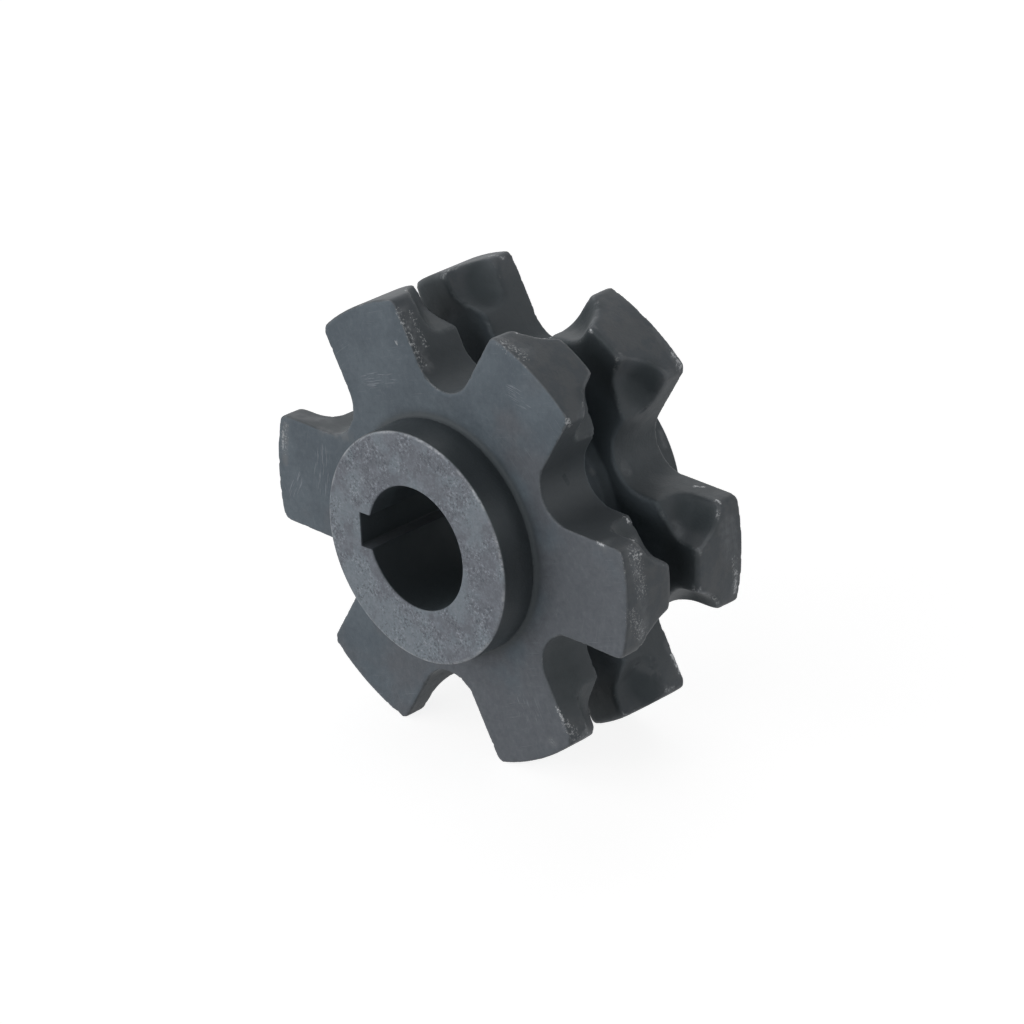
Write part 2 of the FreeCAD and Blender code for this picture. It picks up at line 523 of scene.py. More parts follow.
def bore_tool():
    """A bar as wide as the bore that flares at both ends of the hub."""
    tool = round_bar(BORE_RADIUS, HUB_LENGTH - 2 * BORE_BEVEL)
    flare = (BORE_RADIUS + 2 * BORE_BEVEL) / BORE_RADIUS
    for end in (-1, 1):
        deselected(tool)
        for face in tool.data.polygons:
            face.select = face.normal.y * end > FACING
        bpy.ops.object.mode_set(mode="EDIT")
        bpy.ops.mesh.select_mode(type="FACE")
        bpy.ops.mesh.extrude_region_move(TRANSFORM_OT_translate={"value": (0, end * 2 * BORE_BEVEL, 0)})
        bpy.ops.transform.resize(value=(flare, 1, flare))
        bpy.ops.object.mode_set(mode="OBJECT")
    return tool


def keyway_tool():
    """A square bar from the bore's axis to the keyway's floor, turned to the keyway's place."""
    bpy.ops.object.select_all(action="DESELECT")
    bpy.ops.mesh.primitive_cube_add(size=1, location=(-KEYWAY_FLOOR / 2, 0, 0))
    tool = bpy.context.object
    tool.scale = (KEYWAY_FLOOR, HUB_LENGTH + 2 * PAST, KEY_WIDTH)
    bpy.ops.object.transform_apply(location=True, rotation=True, scale=True)
    tool.rotation_euler = (0, -KEYWAY_TURN, 0)
    bpy.ops.object.transform_apply(location=True, rotation=True, scale=True)
    return tool


print("rim bevels in mm:", FRONT_RIM_BEVEL / MM, "in front and", REAR_RIM_BEVEL / MM, "behind")

# %% Join the hub and cut the bore and keyway
HUB_SKIN = 0.05 * MM
hub = round_bar(HUB_RADIUS + HUB_SKIN, HUB_LENGTH)
bevel_rim(hub, -HUB_LENGTH / 2, FRONT_RIM_BEVEL)
bevel_rim(hub, HUB_LENGTH / 2, REAR_RIM_BEVEL)
join_or_cut(wheel, hub, "UNION")
join_or_cut(wheel, bore_tool(), "DIFFERENCE")
join_or_cut(wheel, keyway_tool(), "DIFFERENCE")
print("wheel faces:", len(wheel.data.polygons))

# %% [markdown]
# ## The measure as an attribute
# A material can read a number that is stored on the vertices. Each vertex takes the measure of
# the nearest one of the cast skin, and what was machined has none. Smooth shading then hides the
# small cells, and only edges that turn by more than the crisp angle stay sharp to the eye.

# %% Give each vertex its measure and smooth the shading
CRISP_ANGLE = math.radians(38)
FLAT_FACES_FIRST = 50
RUBBED_WELL = 0.1

measure = np.zeros(len(wheel.data.vertices))
for number, place in enumerate(places(wheel)):
    near_number, distance = corner_finder.find(place)[1:]
    if distance < SKIN_CELL:
        measure[number] = rubbed_off[near_number] / MM
wheel.data.attributes.new("corner", "FLOAT", "POINT").data.foreach_set("value", measure)
only(wheel)
bpy.ops.object.shade_smooth_by_angle(angle=CRISP_ANGLE)
shaped(wheel, "WEIGHTED_NORMAL", keep_sharp=True, weight=FLAT_FACES_FIRST)
print("vertices that are rubbed more than 0.1 mm:", int((measure > RUBBED_WELL).sum()))

# %% [markdown]
# ## Where things are on the wheel
# The finish needs to know where on the wheel a point lies. Object coordinates, times 1000, are
# millimetres on the real part, and every number of the finish is in millimetres from here on.
# Folding the angle about the bore into one tooth gives every tooth the same three numbers: how
# far out along the tooth, how far across it, and how far from the groove's middle. A mask written
# with those three falls on all six teeth and on both plates.

# %% The places as numbers in the material
TO_MM = (1000, 1000, 1000)
finish = bpy.data.materials.new("blackened_iron_casting")
iron = Tree(finish)
object_place = iron.add("ShaderNodeTexCoord", output="Object")
place_mm = iron.vector("MULTIPLY", object_place, TO_MM)
x = iron.add("ShaderNodeSeparateXYZ", None, {0: place_mm}, "X")
y = iron.add("ShaderNodeSeparateXYZ", None, {0: place_mm}, "Y")
z = iron.add("ShaderNodeSeparateXYZ", None, {0: place_mm}, "Z")
radius = (x * x + z * z) ** 0.5
side = abs(y)
turn = z.maths("ARCTAN2", z, x)
turn_on = turn + HALF_STEP
folded = turn_on.maths("FLOORED_MODULO", turn_on, 2 * HALF_STEP) - HALF_STEP
along = radius * folded.maths("COSINE", folded)
across = abs(radius * folded.maths("SINE", folded))
corner = iron.add("ShaderNodeAttribute", {"attribute_name": "corner"}, output="Fac")
print("finish:", finish.name)

# %% [markdown]
# ## Patches of noise
# Nearly all that is uneven on old iron comes in patches, so one helper makes them. It takes the
# size of a blob in millimetres, how much finer noise lies on it and how strong that is, a shift
# that gives each pattern its own place, and the two heights between which a patch fades in. Noise
# is mostly near 0.5, so a ramp round 0.5 covers about half of the surface.

# %% Noise and patches
NOISE_MIDDLE = 0.5


def cloud(size, detail=3.0, rough=0.5, shift=0.0):
    """Soft noise between 0 and 1 whose blobs are about this many millimetres across."""
    moved = iron.vector("ADD", place_mm, (shift, shift, shift))
    values = {"Vector": moved, "Scale": 1.0 / size, "Detail": detail, "Roughness": rough}
    return iron.add("ShaderNodeTexNoise", {"normalize": True}, values, "Fac")


def patches(size, detail, rough, shift, low, high):
    """Patches of noise: 0 where it is below low, and 1 where it is above high."""
    return cloud(size, detail, rough, shift).rise(low, high)


print("patterns are made of noise in object space")

# %% [markdown]
# ## Zones
# The wheel isn't one colour. The turned hub face is bare and pale, with a fine mottle. The
# plates' outer faces are smooth and bluish. The flanks and pockets are darker and greyer. The
# groove's walls and the deep end of each pocket are painted nearly black as shade, where the plates
# hide them from the light. The side of the hub is dark with oxide and painted shade, and the bore is
# darker towards its bottom. Each zone is one mask, from its place alone, with a slightly ragged
# border. A border is named here with the two distances between which it fades.

# %% Masks of the zones
HUB_END = HUB_LENGTH / 2 / MM
HUB_FACE = (HUB_END - 0.9, HUB_END - 0.3)
BORE_MOUTH = (HUB_END - 0.6, HUB_END - 0.1)
BORE_OUTER = (33.5, 34.5)
HUB_SIDE_INNER = (34.0, 36.0)
HUB_SIDE_OUTER = (53.5, 55.5)
GROOVE_WALL = (8.5, 9.9)
GROOVE_MOUTH = (98.0, 110.0)
PLATE_SIDE = (35.6, 35.9)
PLATE_INNER = (53.5, 56.0)
RAG_SIZE = 5.0
RAG_REACH = 1.6
WALL_RAG = 0.5
FLANK_RAG = 4.0

ragged = (cloud(RAG_SIZE) - NOISE_MIDDLE) * RAG_REACH
hub_face = side.rise(*HUB_FACE)
in_bore = radius.fall(*BORE_OUTER) * side.fall(*BORE_MOUTH)
hub_side = radius.fall(*HUB_SIDE_OUTER) * radius.rise(*HUB_SIDE_INNER) * (1.0 - hub_face)
far_out = radius + ragged * FLANK_RAG
in_groove = (side + ragged * WALL_RAG).fall(*GROOVE_WALL) * far_out.fall(*GROOVE_MOUTH)
plate_face = side.rise(*PLATE_SIDE) * radius.rise(*PLATE_INNER)
print("zones: hub face, bore, hub side, groove, plate faces")

# %% [markdown]
# The deep end of a pocket is a hollow that is longer than it is wide, and it is painted dark as
# shade: its far wall faces the front plate, which hides it from the light. A place's distance from the
# hollow's middle is measured in the hollow's own three reaches, so one mask does for them all.

# %% Mask of the painted shade in the pockets' deep ends
POCKET_MIDDLE = (92.0, 18.5, 19.5)
POCKET_REACH = (13.0, 7.5, 8.0)
POCKET_FADE = (0.55, 1.30)
POCKET_RAG = 0.08
pocket_span = (
    ((along - POCKET_MIDDLE[0]) / POCKET_REACH[0]) ** 2.0
    + ((across - POCKET_MIDDLE[1]) / POCKET_REACH[1]) ** 2.0
    + ((side - POCKET_MIDDLE[2]) / POCKET_REACH[2]) ** 2.0
)
pocket_painted_shade = (pocket_span ** 0.5 + ragged * POCKET_RAG).fall(*POCKET_FADE)
print("pockets:", 4 * TEETH, "deep ends in one mask")

# %% [markdown]
# ## Wear
# Bright metal shows where the blackening has gone: along rubbed corners, in broken patches, and
# in thin scratches. The corner measure from the smoothing says where the corners are. Noise
# breaks the patches up, because wear is never an even outline round a part. No chain or hand
# reaches the corner at the hub's root, and little of the pockets' rims.

# %% Masks of worn corners
POCKET_RIM_SIDE = (31.0, 34.0)
POCKET_RIM_RADIUS = (98.0, 102.0)
POCKET_RIM_SPARED = 0.85
ROOT_RADIUS = (57.0, 60.0)
ROOT_SIDE = (44.0, 48.0)
RUBBED_CORNER = (0.06, 0.30)
WORN_PATCHES = (7.0, 5.0, 0.65, 31.0, 0.50, 0.66)
WORN_GRAIN = (0.9, 4.0, 0.7, 7.0, 0.42, 0.62)
THIN_PATCHES = (12.0, 3.0, 0.5, 57.0, 0.35, 0.65)
THIN_LEAST = 0.25
RIM_RADIUS = (50.6, 51.8)
RIM_PATCHES = (9.0, 4.0, 0.5, 83.0, 0.35, 0.60)
RIM_GRAIN = (1.6, 3.0, 0.5, 85.0, 0.30, 0.60)

near_a_pocket = side.fall(*POCKET_RIM_SIDE) * radius.fall(*POCKET_RIM_RADIUS)
near_the_root = radius.fall(*ROOT_RADIUS) * side.fall(*ROOT_SIDE)
spared = (1.0 - near_a_pocket * POCKET_RIM_SPARED) * (1.0 - near_the_root)
corner_wear = corner.rise(*RUBBED_CORNER) * spared
bright_wear = corner_wear * patches(*WORN_PATCHES) * patches(*WORN_GRAIN)
soft_wear = corner_wear * (THIN_LEAST + (1.0 - THIN_LEAST) * patches(*THIN_PATCHES))
rim_wear = radius.rise(*RIM_RADIUS) * hub_face * patches(*RIM_PATCHES) * patches(*RIM_GRAIN)
print("worn corners and hub rim")

# %% [markdown]
# A scratch is noise that is drawn out: long in one direction and half a millimetre wide in the
# other. Two sets cross each other in a few wide patches, and a third follows arcs about the bore.

# %% Scratches on the plates' outer faces
HAIR_WIDTH = 0.5
HAIR_WANDER = 1.2
HAIR_FADE = 0.08
HAIR_DETAIL = 2.0
HAIR_ROUGH = 0.6
WANDER_DETAIL = 1.0
FIRST_WAY = (20, 22.0, 3.0, 0.36)
SECOND_WAY = (-62, 26.0, 19.0, 0.34)
SCRATCHED_PATCHES = (24.0, 2.0, 0.5, 11.0, 0.44, 0.60)
ARC_RADIUS = 80.0
ARCS = (24.0, 61.0, 0.36)
ARC_PATCHES = (30.0, 3.0, 0.5, 71.0, 0.42, 0.58)


def hairs(lengthwise, sideways, length, shift, share):
    """Fine lines that run lengthwise and wander a little sideways."""
    wavy = sideways + (cloud(length, WANDER_DETAIL, shift=shift) - NOISE_MIDDLE) * HAIR_WANDER
    vector = iron.add("ShaderNodeCombineXYZ", None, {0: lengthwise / length, 1: wavy / HAIR_WIDTH, 2: shift})
    values = {"Vector": vector, "Scale": 1.0, "Detail": HAIR_DETAIL, "Roughness": HAIR_ROUGH}
    line = iron.add("ShaderNodeTexNoise", {"normalize": True}, values, "Fac")
    return line.rise(1.0 - share, 1.0 - share + HAIR_FADE)


def turned_axes(from_x, from_z, turn_degrees):
    """Distances lengthwise and sideways on a face, for lines that run at an angle to level."""
    angle = math.radians(turn_degrees)
    lengthwise = from_x * math.cos(angle) + from_z * math.sin(angle)
    sideways = from_z * math.cos(angle) - from_x * math.sin(angle)
    return lengthwise, sideways


def faint_lines(turn_degrees, length, shift, share):
    """Long thin scratches that all run about one way."""
    return hairs(*turned_axes(x, z, turn_degrees), length, shift, share)


line_field = patches(*SCRATCHED_PATCHES)
crossing_lines = faint_lines(*FIRST_WAY).most(faint_lines(*SECOND_WAY))
turned_arcs = hairs(turn * ARC_RADIUS, radius, *ARCS) * patches(*ARC_PATCHES)
face_scratches = (crossing_lines * line_field).most(turned_arcs) * plate_face
print("scratches: two ways across the face, and arcs about the bore")

# %% [markdown]
# ## Marks that the photograph shows
# Noise gives wear of the right kind, but not the marks by which this wheel is known. Those are
# named one by one, each by the pixels between which it lies and how far it reaches in
# millimetres. A ray from the camera through a pixel finds the same place on the model, so a mark
# stays on the iron from every side. In the material a mark is the distance to the line between
# its two ends, roughened by noise.

# %% Find a mark's place on the wheel
PICTURE_WIDTH = 1024
SHORTEST_RUN = 0.01


def on_wheel(pixel):
    """The place on the wheel, in millimetres, that the camera sees at a pixel."""
    focal = camera.data.lens / camera.data.sensor_width * PICTURE_WIDTH
    across_picture = (pixel[0] - PICTURE_WIDTH / 2) / focal
    down_picture = (pixel[1] - PICTURE_WIDTH / 2) / focal
    direction = camera.matrix_world.to_3x3() @ Vector((across_picture, -down_picture, -1))
    hit, place = wheel.ray_cast(camera.matrix_world.translation, direction)[:2]
    if not hit:
        raise ValueError("no iron at pixel " + str(pixel))
    return place / MM


def distance_to(first, last):
    """Distance in millimetres from the line between two pixels' places."""
    start = on_wheel(first)
    run = on_wheel(last) - start
    away = iron.vector("SUBTRACT", place_mm, start)
    reached = iron.vector("DOT_PRODUCT", away, run, output="Value")
    share = (reached / max(run.length_squared, SHORTEST_RUN)).most(0.0).least(1.0)
    nearest = iron.add("ShaderNodeVectorMath", {"operation": "SCALE"}, {0: run, "Scale": share})
    gap = iron.vector("SUBTRACT", away, nearest)
    return iron.vector("LENGTH", gap, output="Value")


def all_of(marks, core):
    """One mask for a group of marks. Each is 1 in its core and 0 at its reach, in millimetres."""
    together = None
    for first, last, reach in marks.values():
        mark = distance_to(first, last).fall(reach * core, reach)
        together = mark if together is None else together.most(mark)
    return together


print("marks are looked up in a picture of", PICTURE_WIDTH, "pixels")

# %% [markdown]
# There are four groups of marks. Nicks are bare metal, broken up by a fine noise, and one of them is a
# painted highlight on a rear pocket's rim. Speckled places show only the brightest specks of the same
# noise. Rubbed bands are wider and softer, because the blackening is only thin there, and one of them is
# a painted highlight on the sixth tooth's upper edge. The dark group is a pit and painted shade on two
# teeth.

# %% Bare bright nicks, and a painted highlight
NICKS_AND_A_PAINTED_HIGHLIGHT = {
    "end of the second tooth's flank": ((567, 421), (570, 426), 2.2),
    "top edge of the second tooth": ((516, 333), (550, 338), 1.2),
    "speck on the first tooth": ((396, 342), (397, 344), 1.5),
    "fourth tooth's edge": ((557, 708), (564, 722), 1.5),
    "third tooth's top corner": ((599, 542), (603, 545), 2.0),
    "third tooth's upper edge": ((603, 545), (634, 541), 1.6),
    "third tooth's shoulder": ((624, 517), (630, 523), 1.6),
    "third tooth's land": ((633, 556), (642, 554), 1.2),
    "rear tooth's outer corner": ((736, 572), (735, 592), 1.8),
    "rear tooth's upper corner": ((716, 500), (720, 503), 1.4),
    # A painted highlight: the glint on the rounded rim of the rear tooth's pocket.
    "painted highlight on the rear tooth's pocket rim": ((694, 486), (704, 487), 1.4),
    "rear second tooth's corner": ((672, 352), (680, 366), 2.0),
    "rear first tooth's end": ((490, 256), (503, 258), 1.6),
    "fourth tooth behind": ((672, 655), (680, 672), 2.0),
    "sixth tooth's end": ((283, 432), (283, 447), 1.6),
}
SPECKS = (1.0, 4.0, 0.75, 47.0)
NICK_CORE = 0.0
NICK_LIFT = 0.19
NICK_HEIGHT = (0.63, 0.67)
NICK_EDGE = (0.02, 0.20)

specks = cloud(*SPECKS)
near_nicks_and_highlight = all_of(NICKS_AND_A_PAINTED_HIGHLIGHT, NICK_CORE)
nicks_and_painted_highlight = (specks + near_nicks_and_highlight * NICK_LIFT).rise(*NICK_HEIGHT) * near_nicks_and_highlight.rise(*NICK_EDGE)
print("nicks and a painted highlight:", len(NICKS_AND_A_PAINTED_HIGHLIGHT))

# %% Places strewn with bright specks
SPECKLED = {
    "first tooth's front edge": ((398, 310), (424, 366), 2.4),
    "first tooth's inner edge": ((411, 312), (426, 345), 2.4),
    "second tooth's front corner": ((504, 343), (522, 356), 4.5),
    "third tooth's upper edge": ((602, 545), (634, 541), 2.4),
    "third tooth's land": ((634, 552), (642, 592), 5.0),
    "third tooth's lower land": ((632, 616), (642, 634), 5.0),
    "fourth tooth's corner": ((566, 724), (578, 738), 4.0),
    "fourth tooth's lower edge": ((552, 742), (586, 734), 2.4),
    "rear tooth's end": ((734, 560), (735, 592), 2.8),
    "rear second tooth's end": ((672, 352), (680, 368), 3.0),
    "sixth tooth's end": ((286, 425), (284, 452), 3.0),
}
SPECK_CORE = 0.1
SPECK_LIFT = 0.07
SPECK_HEIGHT = (0.60, 0.65)
SPECK_EDGE = (0.05, 0.30)

near_specks = all_of(SPECKLED, SPECK_CORE)
speckled = (specks + near_specks * SPECK_LIFT).rise(*SPECK_HEIGHT) * near_specks.rise(*SPECK_EDGE)
print("speckled places:", len(SPECKLED))

# %% Bands where the blackening is rubbed thin, and a painted highlight
RUBBED_BANDS_AND_A_HIGHLIGHT = {
    "first tooth's flank": ((404, 312), (428, 366), 4.6),
    "sixth tooth's valley": ((322, 429), (350, 437), 4.0),
    # A painted highlight on the sixth tooth's upper edge, where it faces the light.
    "painted highlight on the sixth tooth's upper edge": ((292, 415), (328, 420), 5.0),
    "sixth tooth's end": ((286, 425), (285, 462), 3.0),
    "fourth tooth's lower edge": ((552, 742), (586, 734), 3.4),
    "second tooth's front corner": ((500, 338), (530, 352), 5.0),
    "third tooth's top corner": ((604, 546), (634, 541), 4.0),
    "third tooth's land": ((631, 552), (644, 636), 5.0),
    "rear tooth's end": ((733, 520), (735, 592), 4.0),
    "rear second tooth's end": ((655, 330), (680, 368), 3.6),
    "rear first tooth's end": ((486, 256), (503, 258), 3.0),
    "rear fourth tooth's corner": ((668, 645), (681, 674), 3.6),
    "rear fourth tooth's end": ((636, 665), (652, 671), 5.5),
    "rear third tooth's end": ((724, 522), (728, 555), 6.0),
    "rear hub": ((661, 432), (665, 446), 2.6),
    "front valley": ((591, 471), (593, 473), 2.0),
    "rear valley": ((625, 466), (627, 471), 3.6),
    "lump in the rear pocket": ((677, 526), (679, 533), 4.2),
}
BAND_CORE = 0.1
BAND_PATCHES = (4.0, 4.0, 0.5, 49.0, 0.38, 0.60)
BAND_LEAST = 0.35

near_bands_and_highlight = all_of(RUBBED_BANDS_AND_A_HIGHLIGHT, BAND_CORE)
rubbed_and_highlit_bands = near_bands_and_highlight * (BAND_LEAST + patches(*BAND_PATCHES) * (1.0 - BAND_LEAST))
print("rubbed bands and a painted highlight:", len(RUBBED_BANDS_AND_A_HIGHLIGHT))

# %% A dark pit and painted shade
PIT_AND_PAINTED_SHADES = {
    "pit in the front valley": ((564, 476), (568, 483), 1.6),
    # Painted shade: the rear groove wall of the first tooth, which the front plate hides, and a deep part of
    # the fourth tooth's flank.
    "painted shade on the first tooth's core": ((430, 285), (440, 310), 9.0),
    "painted shade on the fourth tooth's flank": ((560, 655), (572, 690), 13.0),
}
DARK_MARK_CORE = 0.3
pit_and_painted_shade = all_of(PIT_AND_PAINTED_SHADES, DARK_MARK_CORE)
print("pit and painted shades:", len(PIT_AND_PAINTED_SHADES))

# %% [markdown]
# Some marks are bundles of fine strokes, left where something was dragged over a tooth. Each
# bundle has a middle, a way to run and a reach lengthwise and sideways. Its place is taken in the
# plane of the plates alone, so the rear plate's outer face, which the picture hides, has it too.

# %% Bundles of strokes on the front faces
STROKES = {
    "first tooth": ((378, 380), 19, 13.0, 4.0),
    "sixth tooth": ((323, 470), 84, 13.0, 6.0),
    "sixth tooth's corner": ((296, 486), 66, 9.0, 3.5),
    "fourth tooth": ((528, 708), -66, 7.0, 8.0),
    "second tooth": ((518, 397), -10, 9.0, 4.5),
}
STROKE_LENGTH = 9.0
STROKE_SHARE = 0.44
BUNDLE_EDGE = (0.6, 1.1)


def bundle(middle, turn_degrees, reach_along, reach_across):
    """Strokes that run one way round a place on a front face."""
    centre = on_wheel(middle)
    lengthwise, sideways = turned_axes(x - centre.x, z - centre.z, turn_degrees)
    span = (lengthwise / reach_along) ** 2.0 + (sideways / reach_across) ** 2.0
    return hairs(lengthwise, sideways, STROKE_LENGTH, centre.x, STROKE_SHARE) * span.fall(*BUNDLE_EDGE)


strokes = None
for middle, turn_degrees, reach_along, reach_across in STROKES.values():
    one = bundle(middle, turn_degrees, reach_along, reach_across)
    strokes = one if strokes is None else strokes.most(one)
strokes = strokes * plate_face
print("bundles of strokes:", len(STROKES))

# %% [markdown]
# ## Colour of the casting
# The colours are mixed in the order in which they came about: the blackened iron first, its
# mottle, then the pale turned face, then wear and grease, and bright metal on top. All are low,
# because blackened iron returns only an eighth or so of the light. The plates' outer faces are
# blue-black, with a greyer bloom towards the lower right and a fine mottle. The flanks and the
# lands are greyer, and the valleys darker still.

# %% Colour of the plates' outer faces
BLACKENED = (0.098, 0.121, 0.143, 1)
BLACKENED_PALE = (0.123, 0.150, 0.174, 1)
GREY_BLOOM = (0.111, 0.120, 0.134, 1)
GREY_BLOOM_PALE = (0.126, 0.134, 0.150, 1)
TURNED_FACE_PALE = (0.250, 0.272, 0.305, 1)
GREASE_AND_SHADE = (0.040, 0.050, 0.056, 1)
BLUE_PATCHES = (26.0, 4.0, 0.5, 0.0, 0.35, 0.65)
GREY_PATCHES = (5.0, 5.0, 0.65, 91.0, 0.35, 0.65)
BLOOM_SIZE = 32.0
BLOOM_SHIFT = 101.0
BLOOM_LEAN = 600.0
BLOOM_EDGE = (0.42, 0.62)
BLOOM_SHARE = 0.8
MOTTLE = (2.6, 5.0, 0.7, 107.0)
DULLED = (0.36, 0.50)
DULLED_SHARE = 0.14
DUSTED = (0.52, 0.66)
DUSTED_SHARE = 0.10
SPECKS_SEEN = (0.68, 0.72)
SPECKS_SHARE = 0.35

blue_patches = iron.mixed(patches(*BLUE_PATCHES), BLACKENED, BLACKENED_PALE)
grey_patches = iron.mixed(patches(*GREY_PATCHES), GREY_BLOOM, GREY_BLOOM_PALE)
bloom = (cloud(BLOOM_SIZE, shift=BLOOM_SHIFT) + (x - z) / BLOOM_LEAN).rise(*BLOOM_EDGE)
bloomed = iron.mixed(bloom * BLOOM_SHARE, blue_patches, grey_patches)
fine_mottle = cloud(*MOTTLE)
dulled = iron.mixed(fine_mottle.fall(*DULLED) * DULLED_SHARE, bloomed, GREASE_AND_SHADE)
dusted = iron.mixed(fine_mottle.rise(*DUSTED) * DUSTED_SHARE, dulled, TURNED_FACE_PALE)
plate_colour = iron.mixed(specks.rise(*SPECKS_SEEN) * SPECKS_SHARE, dusted, TURNED_FACE_PALE)
print("plates: blue-black with a grey bloom")

# %% Colour of the flanks, lands and valleys
FLANK_GREY = (0.080, 0.091, 0.101, 1)
FLANK_PALE = (0.100, 0.108, 0.115, 1)
VALLEY_GREY = (0.064, 0.074, 0.081, 1)
FLANK_SHARE = 0.9
LAND_PATCHES = (8.0, 5.0, 0.65, 67.0, 0.40, 0.62)
VALLEY_RADIUS = (88.0, 103.0)

flank_share = (1.0 - plate_face) * FLANK_SHARE
land_colour = iron.mixed(patches(*LAND_PATCHES), FLANK_GREY, FLANK_PALE)
flank_colour = iron.mixed(far_out.fall(*VALLEY_RADIUS), land_colour, VALLEY_GREY)
cast_colour = iron.mixed(flank_share, plate_colour, flank_colour)
print("flanks: greyer, and darker towards the valleys")

# %% [markdown]
# ## The turned hub face
# The face was turned bare and has dulled since. It is frosted pale towards the lower left, and
# elsewhere it is a duller grey. A grain of about a millimetre lies on both, with dark pits and
# bright sparks, and it comes and goes in patches as wide as a finger.

# %% Colour of the hub face
TURNED_FACE = (0.149, 0.161, 0.186, 1)
FROSTED_FACE = (0.194, 0.225, 0.254, 1)
TURNED_FACE_SPARK = (0.360, 0.390, 0.430, 1)
TURNED_FACE_DARK = (0.092, 0.104, 0.122, 1)
FACE_GRAIN = (1.1, 3.0, 0.7, 5.0)
FACE_MOTTLE = (3.2, 5.0, 0.7, 105.0)
FROST = (17.0, 4.0, 0.6, 15.0)
FROST_EDGE = (0.43, 0.58)
FROST_RISE = 1.2
FROST_LEAN = 1100.0
GRAIN_PATCHES = (11.0, 3.0, 0.5, 35.0, 0.43, 0.57)
GRAIN_LEAST = 0.25
PALE_MOTTLE = (0.42, 0.64)
PALE_MOTTLE_SHARE = 0.40
PITS = (0.37, 0.47)
PITS_SHARE = 0.90
SPARKS = (0.55, 0.65)
SPARKS_SHARE = 0.72

face_grain = cloud(*FACE_GRAIN)
face_mottle = cloud(*FACE_MOTTLE)
to_the_lower_left = (x + z * FROST_RISE) / -FROST_LEAN
frosted = (cloud(*FROST) + to_the_lower_left).rise(*FROST_EDGE)
calm_face = iron.mixed(frosted, TURNED_FACE, FROSTED_FACE)
pale_mottle = face_mottle.rise(*PALE_MOTTLE) * PALE_MOTTLE_SHARE
mottled_face = iron.mixed(pale_mottle, calm_face, TURNED_FACE_PALE)
grainy = GRAIN_LEAST + patches(*GRAIN_PATCHES) * (1.0 - GRAIN_LEAST)
pits = face_grain.fall(*PITS) * grainy * PITS_SHARE
pitted_face = iron.mixed(pits, mottled_face, TURNED_FACE_DARK)
sparks = face_grain.rise(*SPARKS) * grainy * SPARKS_SHARE
turned_colour = iron.mixed(sparks, pitted_face, TURNED_FACE_SPARK)
print("hub face: frosted, mottled, pitted and sparkling")

# %% [markdown]
# ## The groove, the bore and the keyway
# Deep in the groove and in the bore the iron is as it was cast or drilled, a bluish black. The
# lower wall of the keyway is painted pale, as painted light where the little light that gets in falls.

# %% Colour of the deep places
DEEP_IRON = (0.085, 0.104, 0.118, 1)
GROOVE_DEEP = (80.0, 94.0)
KEYWAY_START = (28.3, 28.8)
KEYWAY_WALL_TOP = (-9.0, -8.4)

deep_in_groove = in_groove * radius.fall(*GROOVE_DEEP)
deep_colour = iron.mixed(deep_in_groove, cast_colour, DEEP_IRON)
bore_colour = iron.mixed(in_bore, deep_colour, DEEP_IRON)
# Painted light on the keyway's lower wall.
keyway_painted_light = in_bore * radius.rise(*KEYWAY_START) * z.fall(*KEYWAY_WALL_TOP)
keyway_colour = iron.mixed(keyway_painted_light, bore_colour, TURNED_FACE_PALE)
base_colour = iron.mixed(hub_face, keyway_colour, turned_colour)
print("deep places: groove, bore and keyway")

# %% [markdown]
# ## Wear, and dark oxide and painted shade on top
# Thin wear and scratches lie on the blackened iron, and a dark layer lies on them. At the hub's root,
# in the pockets' deep ends and along the groove's mouth it is painted shade. On the hub's side it is
# dark oxide, darker near the front rim, and painted shade makes it darker on top than at its right.
# The bore is darker towards its bottom, and there are a dark pit and painted shade on two teeth. Bare
# metal shows through it all, because it is rubbed bare again each time that something touches it.

# %% Rubbed and scratched colours
RUBBED_AND_HIGHLIT = (0.162, 0.175, 0.188, 1)
CORNERS_SHARE = 0.80
BANDS_SHARE = 0.75
SCRATCHES_SHARE = 0.35
STROKES_SHARE = 0.68

rubbed_colour = iron.mixed(soft_wear * CORNERS_SHARE, base_colour, RUBBED_AND_HIGHLIT)
banded_and_highlit_colour = iron.mixed(rubbed_and_highlit_bands * BANDS_SHARE, rubbed_colour, RUBBED_AND_HIGHLIT)
scratches = (face_scratches * SCRATCHES_SHARE).most(strokes * STROKES_SHARE)
scratched_colour = iron.mixed(scratches, banded_and_highlit_colour, TURNED_FACE_PALE)
print("wear: corners, bands and scratches")

# %% Dark oxide, painted shade and bare metal
BARE_METAL_AND_HIGHLIGHT = (0.38, 0.39, 0.40, 1)
BESIDE_THE_HUB_NEAR = (30.0, 34.0)
BESIDE_THE_HUB_FAR = (40.0, 47.0)
ROOT_HALO = (52.5, 58.0)
ROOT_SHADE = 0.60
BORE_DARKENING = 0.5
BORE_DARKENING_LEAN = 60.0
GROOVE_SHADE = 0.95
HUB_SIDE_OXIDE = 0.42
HUB_RIM_DARKENING = 0.43
HUB_RIM_SIDE = (43.0, 54.0)
HUB_RIGHT = (15.0, 48.0)
HUB_RIGHT_LESS_SHADE = 0.50
BANDS_CLEANER = 0.6
RIM_BARE = 0.50
NICK_AND_HIGHLIGHT_SHARE = 0.75
SPECKS_BARE = 0.60

# Painted shade round the hub's root, where the hub shades the plate beside it.
beside_the_hub = side.fall(*BESIDE_THE_HUB_FAR) * side.rise(*BESIDE_THE_HUB_NEAR)
root_painted_shade = (radius + ragged).fall(*ROOT_HALO) * beside_the_hub * ROOT_SHADE
# The bore is darker towards its bottom.
bore_darkening = in_bore * (BORE_DARKENING - z / BORE_DARKENING_LEAN)
# Painted shade on the groove's walls near its mouth, where the plates hide them from the light.
groove_painted_shade = in_groove * radius.rise(*GROOVE_DEEP) * GROOVE_SHADE
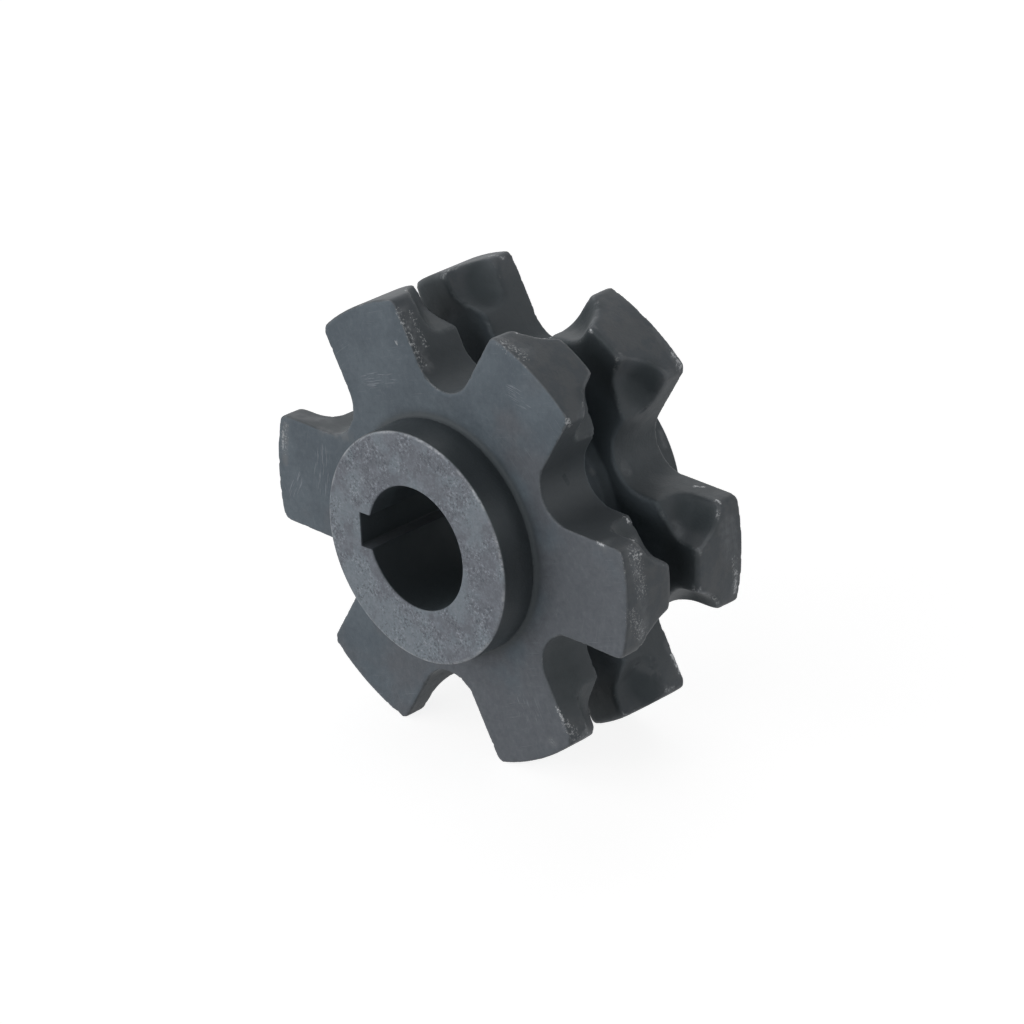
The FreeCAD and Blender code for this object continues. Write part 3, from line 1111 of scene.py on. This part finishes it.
# Dark oxide on the hub's side, darker near the front rim; painted shade makes it darker on top than at its
# right.
hub_side_darkness = HUB_SIDE_OXIDE + side.rise(*HUB_RIM_SIDE) * HUB_RIM_DARKENING
hub_oxide_and_painted_shade = hub_side * (hub_side_darkness - x.rise(*HUB_RIGHT) * HUB_RIGHT_LESS_SHADE)
dirt_and_painted_shade = bore_darkening.most(groove_painted_shade).most(hub_oxide_and_painted_shade).most(pocket_painted_shade).most(pit_and_painted_shade).most(root_painted_shade)
dark_layer_and_painted_shade = dirt_and_painted_shade * (1.0 - rubbed_and_highlit_bands * BANDS_CLEANER)
shaded_and_darkened_colour = iron.mixed(dark_layer_and_painted_shade, scratched_colour, GREASE_AND_SHADE)
bare_corners = bright_wear.most(rim_wear * RIM_BARE)
bare_and_highlit = bare_corners.most(nicks_and_painted_highlight * NICK_AND_HIGHLIGHT_SHARE).most(speckled * SPECKS_BARE)
finished_colour = iron.mixed(bare_and_highlit, shaded_and_darkened_colour, BARE_METAL_AND_HIGHLIGHT)
print("painted shade in the groove, pockets and at the hub's root, a darker bore, and bare metal above it")

# %% [markdown]
# ## Shine and relief
# The blackened skin is dull. The dark layer of oxide and painted shade shines a little more, and bare
# metal and the painted highlights most, and only they are really metallic. The cast skin keeps the
# grain and the slow waves of the sand mould, and the turned hub face has no waves. The index of
# refraction is low, because the dull skin mirrors little, and it is the same all over.

# %% The finish
DULL = 0.52
DULL_MORE = 0.10
DARK_LAYER_SHINE = 0.06
BARE_SHINE = 0.15
SKIN_METAL = 0.15
BARE_METAL_MORE = 0.6
SHINE_PATTERN = (3.0, 1.0, 0.5, 23.0)
SAND_GRAIN = (1.3, 2.0, 0.65, 29.0)
SAND_WAVES = (9.0, 1.0, 0.5, 37.0)
GRAIN_HEIGHT = 0.10
WAVE_HEIGHT = 0.35
GRAIN_TURNED_OFF = 0.5
OXIDE_INDEX = 1.35

roughness = DULL + cloud(*SHINE_PATTERN) * DULL_MORE - dark_layer_and_painted_shade * DARK_LAYER_SHINE - bare_and_highlit * BARE_SHINE
metallic = SKIN_METAL + bare_and_highlit * BARE_METAL_MORE
cast_grain = cloud(*SAND_GRAIN) * GRAIN_HEIGHT
cast_waves = cloud(*SAND_WAVES) * WAVE_HEIGHT
relief = cast_grain * (1.0 - hub_face * GRAIN_TURNED_OFF) + cast_waves * (1.0 - hub_face)
bump = iron.add("ShaderNodeBump", None, {"Strength": 1.0, "Distance": MM, "Height": relief}, "Normal")
shader = iron.add("ShaderNodeBsdfPrincipled", None, {
    "Base Color": finished_colour,
    "Roughness": roughness,
    "Metallic": metallic,
    "IOR": OXIDE_INDEX,
    "Normal": bump,
})
iron.add("ShaderNodeOutputMaterial", None, {"Surface": shader}, None)
print("nodes in the finish:", len(finish.node_tree.nodes))

# %% [markdown]
# ## Put it in the frame
# The dressed wheel gets its finish, takes the place of the CAD node and rides on the row's only body.

# %% Hand the wheel over
wheel.data.materials.clear()
wheel.data.materials.append(finish)
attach(wheel, "root")
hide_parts(NODE)
